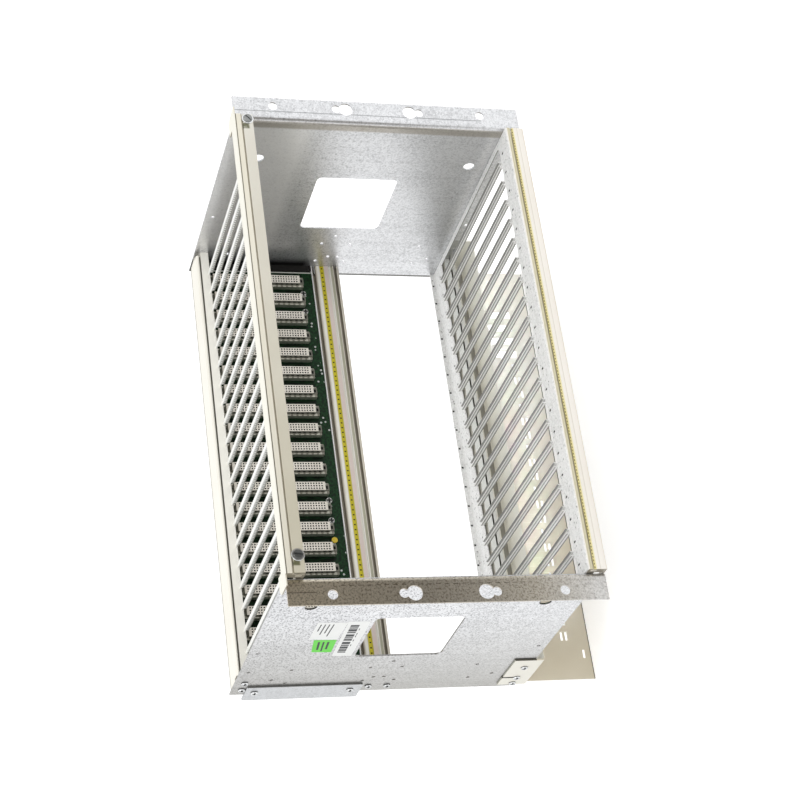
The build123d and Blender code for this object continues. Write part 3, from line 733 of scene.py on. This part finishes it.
def makeSockets():
    # One socket of flat panels, repeated: foot, face with three rows of contacts, slotted side walls
    # and an ear with a notch at each end.
    s = sockets
    board = s["boardFace"]
    footHalf, footTop = s["foot"][0] / 2, board - s["foot"][1]
    half, top = s["face"][0] / 2, board - s["face"][1]
    earHalf, earTop = s["ear"][0] / 2, board - s["ear"][1]
    low, high = s["bottom"] + s["end"], s["top"] - s["end"]
    fieldX = s["rows"][0] * s["contact"] / 2
    fieldZ = s["rows"][1] * s["contact"] / 2
    middle = (low + high) / 2
    z0, z1 = middle - fieldZ, middle + fieldZ

    def upright(x, z, y):
        # A face across the socket at z, from the foot to y; the sign of x turns it over.
        return flat([[-x, footTop, z], [x, footTop, z], [x, y, z], [-x, y, z]])

    parts = [boxes([-footHalf, footTop, s["bottom"]], [footHalf, board, s["top"]])]
    # The contact holes, the slots in the side walls and the notches in the ears take painted shade.
    parts.append(recessGrid([-fieldX, top, z0], [2 * fieldX, 0, 0], [0, 0, z1 - z0],
                            s["rows"], s["contactHole"], s["contactDepth"]))
    for xLow, xHigh, zLow, zHigh in ((-half, -fieldX, low, high), (fieldX, half, low, high),
                                     (-fieldX, fieldX, low, z0), (-fieldX, fieldX, z1, high)):
        parts.append(flat([[xLow, top, zLow], [xHigh, top, zLow], [xHigh, top, zHigh], [xLow, top, zHigh]]))
    wall = s["face"][1] - s["foot"][1]
    for side in (-1, 1):
        start, run = (low, high - low) if side < 0 else (high, low - high)
        parts.append(recessGrid([side * half, footTop, start], [0, -wall, 0], [0, 0, run],
                                (1, s["slots"]), s["slot"], s["slotDepth"]))
    for z, way in ((low, 1), (high, -1)):
        parts.append(upright(half * way, z, top))
    for z, zEnd in ((s["bottom"], low), (high, s["top"])):
        parts.append(recessGrid([-earHalf, earTop, z], [2 * earHalf, 0, 0], [0, 0, zEnd - z],
                                (1, 1), s["notch"], s["notchDepth"]))
        for x in (-earHalf, earHalf):
            a, b = (z, zEnd) if x < 0 else (zEnd, z)
            parts.append(flat([[x, footTop, a], [x, footTop, b], [x, earTop, b], [x, earTop, a]]))
        outer, way = (z, 1) if zEnd == low else (zEnd, -1)
        parts.append(upright(earHalf * way, outer, earTop))
    x = s["first"] - s["pitch"] * np.arange(s["count"])
    shape = repeat(join(*parts), np.stack([x, 0 * x, 0 * x], 1))
    piece = makePiece("sockets", shape, [socketPlastic, darkHollow])
    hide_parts(*[f"connector_{k:02d}" for k in range(1, s["count"] + 1)])


makeSockets()
print("sockets")


# Places are (Y, Z), on the bare plates and on the strips and tabs that lap over them.
sideScrews = {
    "plain": [(220.0, 122.5), (235.0, 122.5), (235.5, 9.0), (235.5, -8.1)],
    "lapped": [(239.0, 110.7), (239.0, 25.0), (199.1, -125.3), (222.7, -125.3), (236.0, -125.3)],
    "plainSeat": 218.75,
    "lappedSeat": 220.25,
    "headRadius": 3.2,
    "headHeight": 1.9,
    "shankRadius": 1.85,
    "shank": 9.0,
    "crossWidth": 1.6,
    "crossLength": 5.0,
    "crossDepth": 1.2,
    "crossEdge": (0.15, 0.3),
    "dome": 0.25,
    "rimShare": 0.975,
    "segments": 40,
    "rings": 16,
}

# The screw heads: share of the radius where the dome ends, the rim as shares of the radius and of the
# height, the angle past which an edge stays sharp, and the depth past which a recess gets painted shade.
headShape = {"flat": 0.86, "rim": ((0.95, 0.78), (1.0, 0.55)), "sharp": 0.6, "shadeDepth": 0.6}


def crossRecess(x, y):
    # Two bars at right angles: inside a bar when |across| < width / 2 and |along| < length / 2.
    s = sideScrews
    width, length = s["crossWidth"] / 2, s["crossLength"] / 2
    wide, deep = s["crossEdge"]

    def bar(across, along):
        inWidth = np.clip((width - np.abs(across)) / wide + 0.5, 0, 1)
        return inWidth * np.clip((length - np.abs(along)) / deep + 0.5, 0, 1)

    return s["crossDepth"] * np.maximum(bar(y, x), bar(x, y))


def headProfile(radius, height, rings, dome):
    # A low dome: height falls by dome * (r / radius)^2, then a rounded rim and a straight side.
    r = np.linspace(0, headShape["flat"], rings)
    top = np.stack([r * radius, height * (1 - dome * r ** 2), np.ones(rings)], 1)
    rim = [[share, rise - dome] for share, rise in headShape["rim"]] + [[1.0, 0.0]]
    rim = np.array(rim) * [radius, height]
    return np.concatenate([top, np.column_stack([rim, np.zeros(len(rim))])])


def makeSideScrews():
    # One screw is turned, and copied to its places on both plates: its axis is X, its head outside.
    # The cross and the rim of the head are dark with painted shade.
    s = sideScrews
    profile = headProfile(s["headRadius"], s["headHeight"], s["rings"], s["dome"])
    tail = np.array([[s["shankRadius"], 0, 0], [s["shankRadius"], -s["shank"], 0], [0, -s["shank"], 0]])
    points, faces, finishes = turned(np.concatenate([profile, tail]), s["segments"], crossRecess)
    centre = points[faces].mean(1)
    away = np.hypot(centre[:, 0], centre[:, 1]) / s["headRadius"]
    inCross = (crossRecess(centre[:, 0], centre[:, 1]) > headShape["shadeDepth"]) & (away < headShape["flat"])
    finishes = np.where((inCross | (away > s["rimShare"])) & (centre[:, 2] > 0), 1, 0)
    parts = []
    for places, seat in ((s["plain"], s["plainSeat"]), (s["lapped"], s["lappedSeat"])):
        for side in (-1, 1):
            one = np.stack([side * (seat + points[:, 2]), points[:, 0], points[:, 1]], 1)
            order = faces if side > 0 else faces[:, ::-1]
            parts.append(repeat((one, order, finishes), [(0, y, z) for y, z in places]))
    materials = [screwZinc, screwDark]
    piece = makePiece("crossHeadScrews", join(*parts), materials, headShape["sharp"])
    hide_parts("side_screws")


makeSideScrews()


boardStuds = {
    "places": (185.34, 165.02, -38.18, -58.5),
    "height": 24.1,
    "board": 233.5,
    "radius": 2.9,
    "head": 2.3,
    "dome": 0.2,
    "crossFloor": 0.2,
    "segments": 40,
    "rings": 16,
}


def makeBoardStuds():
    # Domed heads with a cross dark with painted shade, each standing on the board towards -Y.
    s = boardStuds
    profile = np.concatenate([headProfile(s["radius"], s["head"], s["rings"], s["dome"]), [[0, 0, 0]]])
    points, faces, finishes = turned(profile, s["segments"], crossRecess)
    centre = points[faces].mean(1)
    inCross = crossRecess(centre[:, 0], centre[:, 1]) > headShape["shadeDepth"]
    finishes = np.where(inCross & (centre[:, 2] > s["crossFloor"]), 1, 0)
    shape = np.stack([points[:, 0], s["board"] - points[:, 2], s["height"] + points[:, 1]], 1)
    heads = repeat((shape, faces, finishes), [(x, 0, 0) for x in s["places"]])
    piece = makePiece("boardStudHeads", heads, [studBright, screwDark], headShape["sharp"])
    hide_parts("board_studs")


makeBoardStuds()


coverScrews = {
    "places": (-202.0, 212.0),
    "turns": (1.45, 0.75),
    "height": 121.25,
    "seat": -7.2,
    "radius": 4.1,
    "headHeight": 2.4,
    "collarRadius": 5.3,
    "collarHeight": 0.8,
    "collarBevel": 0.3,
    "dome": 0.12,
    "slotWidth": 1.1,
    "slotDepth": 1.1,
    "slotEdge": 0.15,
    "shankRadius": 1.1,
    "shank": 6.4,
    "nut": (4.0, 2.45),
    "nutDepth": (-3.1, -0.65),
    "segments": 48,
    "rings": 18,
}


def makeCoverScrews():
    # Each screw is turned from a domed head, a wider collar and a shank; its nut is a small bar.
    s = coverScrews
    parts = []
    for x, turn in zip(s["places"], s["turns"]):

        def slotRecess(a, b):
            # One straight slot across the head, at its own angle.
            across = -a * np.sin(turn) + b * np.cos(turn)
            share = (s["slotWidth"] / 2 - np.abs(across)) / s["slotEdge"] + 0.5
            return s["slotDepth"] * np.clip(share, 0, 1)

        head = headProfile(s["radius"], s["headHeight"], s["rings"], s["dome"])[:-1]
        rise, bevel = s["collarHeight"], s["collarBevel"]
        collar = np.array([[s["radius"], rise, 0], [s["collarRadius"] - bevel, rise, 0],
                           [s["collarRadius"], rise - bevel, 0], [s["collarRadius"], 0, 0],
                           [s["shankRadius"], 0, 0], [s["shankRadius"], -s["shank"], 0],
                           [0, -s["shank"], 0]])
        points, faces, finishes = turned(np.concatenate([head, collar]), s["segments"], slotRecess)
        finishes = np.where(np.arange(len(faces)) // s["segments"] < len(head), 1, 0)
        shape = np.stack([x + points[:, 0], s["seat"] - points[:, 2], s["height"] + points[:, 1]], 1)
        parts.append((shape, faces, finishes))
        (halfX, halfZ), (front, back) = s["nut"], s["nutDepth"]
        parts.append(boxes([x - halfX, front, s["height"] - halfZ], [x + halfX, back, s["height"] + halfZ]))
    # The heads take the painted sheen.
    piece = makePiece("coverScrews", join(*parts), [screwZinc, screwSheen], headShape["sharp"])
    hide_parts("cover_strip_screws")


makeCoverScrews()
print("screws")


positionStrip = {
    "reach": 217.1,
    "front": 232.4,
    "back": 233.0,
    "low": 1.3,
    "high": 3.9,
    "count": 86,
    "hole": (0.26, 0.6),
    "depth": 0.2,
}

# A thin bar with one row of marks, each a shallow dark recess.
piece = makePiece("positionMarks", recessBar(positionStrip), [stripYellow, darkHollow])
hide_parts("position_strip")


tappedStrip = {
    "reach": 217.0,
    "front": -4.3,
    "back": -3.4,
    "low": -122.45,
    "high": -121.3,
    "count": 144,
    "hole": (0.4, 0.55),
    "depth": 0.5,
}

# A thin bar in the nut slot of the lower front rail with one row of holes, dark with painted shade.
makePiece("tappedStrip", recessBar(tappedStrip), [tappedPaint, darkHollow])


slotShades = {
    "count": 21,
    "first": 193.0,
    "pitch": 20.32,
    "half": 0.9,
    "front": (7.7, 10.0, 14.0, -116.2, -115.8),
    "rear": (10.16, 223.6, 225.4, -116.2, -115.8),
    "flange": (10.16, 241.9, 242.3, -114.2, -112.4),
}


def makeSlotShades():
    # A dark block in each slot of the guide sheet as painted shade: three small plates per guide, at first
    # - k pitches, each given as (shift along X, front, back, low, high).
    s = slotShades
    low, high = [], []
    for shift, y0, y1, z0, z1 in (s["front"], s["rear"], s["flange"]):
        low.append([shift - s["half"], y0, z0])
        high.append([shift + s["half"], y1, z1])
    x = s["first"] - s["pitch"] * np.arange(s["count"])
    shape = repeat(boxes(low, high), np.stack([x, 0 * x, 0 * x], 1))
    makePiece("slotShades", shape, [darkHollow])


makeSlotShades()


gapShades = {"x": (211.2, 217.1), "y": (231.4, 235.6), "z": (14.4, 117.4)}


def makeGapShades():
    # A dark block closes the gap between each end of the board and its side plate, as painted shade.
    s = gapShades
    low = [[s["x"][0], s["y"][0], s["z"][0]], [-s["x"][1], s["y"][0], s["z"][0]]]
    high = [[s["x"][1], s["y"][1], s["z"][1]], [-s["x"][0], s["y"][1], s["z"][1]]]
    makePiece("gapShades", boxes(low, high), [darkHollow])


makeGapShades()


labels = {
    "plate": -218.75,
    "thickness": 0.12,
    "ink": 0.03,
    "white": [(89.2, 86.0), (89.6, 60.6), (125.7, 62.2), (124.0, 86.6)],
    "whiteBars": [(0.12, 0.16, 0.1, 0.5), (0.26, 0.30, 0.1, 0.7),
                  (0.40, 0.44, 0.1, 0.62), (0.54, 0.58, 0.1, 0.8)],
    "green": [(126.1, 81.7), (126.6, 62.0), (153.3, 61.0), (152.1, 78.3)],
    "greenBars": [(0.2, 0.3, 0.15, 0.8), (0.42, 0.5, 0.15, 0.9), (0.62, 0.72, 0.15, 0.75)],
    "striped": [(87.7, 60.6), (88.0, 42.0), (162.9, 41.3), (161.6, 58.4)],
    "stripes": [3, 1, 2, 1, 4, 1, 2, 2, 4, 1, 2, 1, 3, 2, 4, 1, 2, 1, 4, 1, 3, 1, 2],
    "stripeReach": (0.18, 0.58),
    "stripeMargin": 0.1,
    "dashReach": (0.65, 0.69),
    "dashes": (0.2, 0.33, 0.4, 0.52, 0.66),
    "dash": 0.05,
}


def makeLabel(name, corners, material, bars):
    # A thin sheet between four (Y, Z) corners; a bar is (u0, u1, v0, v1) in shares of the sheet, and a
    # place on it is (1-u)(1-v) c0 + u(1-v) c1 + uv c2 + (1-u)v c3.
    corners = np.asarray(corners, float)

    def onSheet(u, v, lift):
        u, v = np.asarray(u, float), np.asarray(v, float)
        place = ((1 - u) * (1 - v))[:, None] * corners[0] + (u * (1 - v))[:, None] * corners[1]
        place = place + (u * v)[:, None] * corners[2] + ((1 - u) * v)[:, None] * corners[3]
        return np.column_stack([np.full(len(u), labels["plate"] - lift), place])

    def slab(u0, u1, v0, v1, low, high, finish):
        # A sheet from low to high over the plate, with its faces turned outward.
        u, v = [u0, u1, u1, u0], [v0, v0, v1, v1]
        points = np.concatenate([onSheet(u, v, low), onSheet(u, v, high)])
        faces = np.array([[4, 5, 6, 7], [3, 2, 1, 0], [0, 1, 5, 4],
                          [1, 2, 6, 5], [2, 3, 7, 6], [3, 0, 4, 7]])
        normal = np.cross(points[5] - points[4], points[6] - points[5])
        return points, faces if normal[0] < 0 else faces[:, ::-1], np.full(len(faces), finish)

    thick = labels["thickness"]
    ink = [slab(*bar, thick, thick + labels["ink"], 1) for bar in bars]
    sheet = slab(0, 1, 0, 1, 0.0, thick, 0)
    makePiece(name, join(sheet, *ink), [material, labelInk])


def labelStripes():
    # Every second width of the list is a dark stripe; all of them fill the sheet between its margins.
    widths = np.array(labels["stripes"])
    margin = labels["stripeMargin"]
    edges = np.concatenate([[0], np.cumsum(widths)]) / widths.sum() * (1 - 2 * margin) + margin
    stripes = [(*labels["stripeReach"], edges[k], edges[k + 1]) for k in range(0, len(widths), 2)]
    return stripes + [(*labels["dashReach"], v, v + labels["dash"]) for v in labels["dashes"]]


makeLabel("labelWhite", labels["white"], labelWhite, labels["whiteBars"])
makeLabel("labelGreen", labels["green"], labelGreen, labels["greenBars"])
makeLabel("labelBars", labels["striped"], labelWhite, labelStripes())
print("labels")


cameraSetup = {
    "place": (-0.83327, -1.38936, 0.47753),
    "right": (-0.12876867, -0.24567949, -0.96076023),
    "down": (-0.87498806, 0.48410062, -0.00651833),
    "forward": (0.46670604, 0.83981437, -0.27730361),
    "focalPixels": 2020.76,
    "imagePixels": 800,
    "sensor": 36.0,
    "clip": (0.05, 60),
}


def makeCamera():
    # The frame lies on its side in the picture, so the camera is turned by a quarter. The columns of
    # its matrix are its right, its up and the way opposite to its view.
    s = cameraSetup
    data = bpy.data.cameras.new("camera")
    data.sensor_width = s["sensor"]
    data.lens = s["focalPixels"] * s["sensor"] / s["imagePixels"]
    data.clip_start, data.clip_end = s["clip"]
    camera = bpy.data.objects.new("camera", data)
    bpy.context.collection.objects.link(camera)
    columns = np.array([s["right"], -np.array(s["down"]), -np.array(s["forward"])]).T
    place = np.eye(4)
    place[:3, :3] = columns
    place[:3, 3] = s["place"]
    camera.matrix_world = Matrix(place.tolist())
    bpy.context.scene.camera = camera


lighting = {
    "world": 0.78,
    "lamps": [
        {"name": "keyLamp", "place": (-1.6, -1.2, 1.9), "size": 1.6, "power": 12},
        {"name": "topLamp", "place": (0.1, 0.15, 2.3), "size": 1.2, "power": 11.5},
        {"name": "fillLamp", "place": (1.8, -1.9, 0.9), "size": 1.6, "power": 8},
        {"name": "backLamp", "place": (-0.9, 1.8, 1.4), "size": 1.4, "power": 8},
    ],
    "lampTarget": (0, 0.1, 0),
    "stripPlace": (0.05, -1.1, -0.185),
    "stripTarget": (0.05, 0.24, -0.172),
    "stripSize": (0.42, 0.03),
    "stripPower": 0.033,
    "stripSpread": 3,
    "floorSize": 14.0,
    "floorShade": 0.82,
    "floorRoughness": 0.9,
    "floorGlow": 0.46,
    "cardShade": "564832",
    "cardX": (-0.36, 0.16),
    "cardY": -0.36,
    "cardZ": (-0.2, 0.5),
}
white = (1, 1, 1, 1)


def makeLamp(name, place, target, power):
    # An area lamp at its place whose -Z points at the target.
    data = bpy.data.lights.new(name, "AREA")
    data.energy = power
    lamp = bpy.data.objects.new(name, data)
    bpy.context.collection.objects.link(lamp)
    turn = (Vector(target) - Vector(place)).to_track_quat("-Z", "Y").to_matrix().to_4x4()
    lamp.matrix_world = Matrix.Translation(place) @ turn
    return data


def newShader(tree, kind, color, strength):
    # A background or emission shader of one colour and strength.
    shader = tree.nodes.new("ShaderNode" + kind)
    shader.inputs["Color"].default_value = color
    shader.inputs["Strength"].default_value = strength
    return shader


def choose(tree, first, second, output):
    # Shows the second shader to camera, glossy and transmission rays and the first one to the rest.
    mix = tree.nodes.new("ShaderNodeMixShader")
    tree.links.new(seenDirectly(tree, "Is Glossy Ray", "Is Transmission Ray"), mix.inputs[0])
    tree.links.new(first.outputs[0], mix.inputs[1])
    tree.links.new(second.outputs[0], mix.inputs[2])
    tree.links.new(mix.outputs[0], tree.nodes[output].inputs["Surface"])


def seenDirectly(tree, *rays):
    # 1 for camera rays and for the other kinds of rays that are named.
    path = tree.nodes.new("ShaderNodeLightPath")
    value = path.outputs["Is Camera Ray"]
    for ray in rays:
        either = tree.nodes.new("ShaderNodeMath")
        either.operation = "MAXIMUM"
        tree.links.new(value, either.inputs[0])
        tree.links.new(path.outputs[ray], either.inputs[1])
        value = either.outputs[0]
    return value


def makeLight():
    # A white world, four soft lamps round the frame, and a low strip with a grid that lights only the
    # apron under the frame.
    s = lighting
    world = bpy.data.worlds.new("studio")
    bpy.context.scene.world = world
    world.use_nodes = True
    tree = world.node_tree
    shade = tree.nodes["Background"]
    shade.inputs["Color"].default_value = white
    shade.inputs["Strength"].default_value = s["world"]
    choose(tree, shade, newShader(tree, "Background", white, 1.0), "World Output")
    for lamp in s["lamps"]:
        data = makeLamp(lamp["name"], lamp["place"], s["lampTarget"], lamp["power"])
        data.size = lamp["size"]
    strip = makeLamp("stripLamp", s["stripPlace"], s["stripTarget"], s["stripPower"])
    strip.shape = "RECTANGLE"
    strip.size, strip.size_y = s["stripSize"]
    strip.spread = np.radians(s["stripSpread"])


def stageSheet(name, corners, material):
    # A flat sheet that belongs to the studio and not to the part.
    mesh = bpy.data.meshes.new(name)
    mesh.from_pydata(corners, [], [(0, 1, 2, 3)])
    mesh.materials.append(material)
    sheet = bpy.data.objects.new(name, mesh)
    bpy.context.collection.objects.link(sheet)
    return sheet


def makeFloor():
    # A wide floor under the lowest edge; camera rays see it lit up towards white, shadows stay.
    s = lighting
    low = cadBounds[0][2]
    half = s["floorSize"] / 2
    material = bpy.data.materials.new("floor_paper")
    material.use_nodes = True
    tree = material.node_tree
    shader = tree.nodes["Principled BSDF"]
    shader.inputs["Base Color"].default_value = (s["floorShade"],) * 3 + (1,)
    shader.inputs["Roughness"].default_value = s["floorRoughness"]
    glow = newShader(tree, "Emission", white, s["floorGlow"])
    lit = tree.nodes.new("ShaderNodeAddShader")
    tree.links.new(shader.outputs[0], lit.inputs[0])
    tree.links.new(glow.outputs[0], lit.inputs[1])
    choose(tree, shader, lit, "Material Output")
    corners = [(-half, -half, low), (half, -half, low), (half, half, low), (-half, half, low)]
    stageSheet("floor", corners, material)


def makeCard():
    # A brown card in front of the left ear that only reflections see, as in a studio.
    s = lighting
    (x0, x1), y, (z0, z1) = s["cardX"], s["cardY"], s["cardZ"]
    material = bpy.data.materials.new("card_brown")
    material.use_nodes = True
    tree = material.node_tree
    glow = newShader(tree, "Emission", rgb(s["cardShade"]), 1.0)
    tree.links.new(glow.outputs[0], tree.nodes["Material Output"].inputs["Surface"])
    card = stageSheet("card", [(x0, y, z0), (x1, y, z0), (x1, y, z1), (x0, y, z1)], material)
    card.visible_camera = False
    card.visible_diffuse = False
    card.visible_shadow = False
    card.visible_transmission = False


makeCamera()
makeLight()
makeFloor()
makeCard()
bpy.context.scene.view_settings.view_transform = "Standard"
print("camera, light and floor")
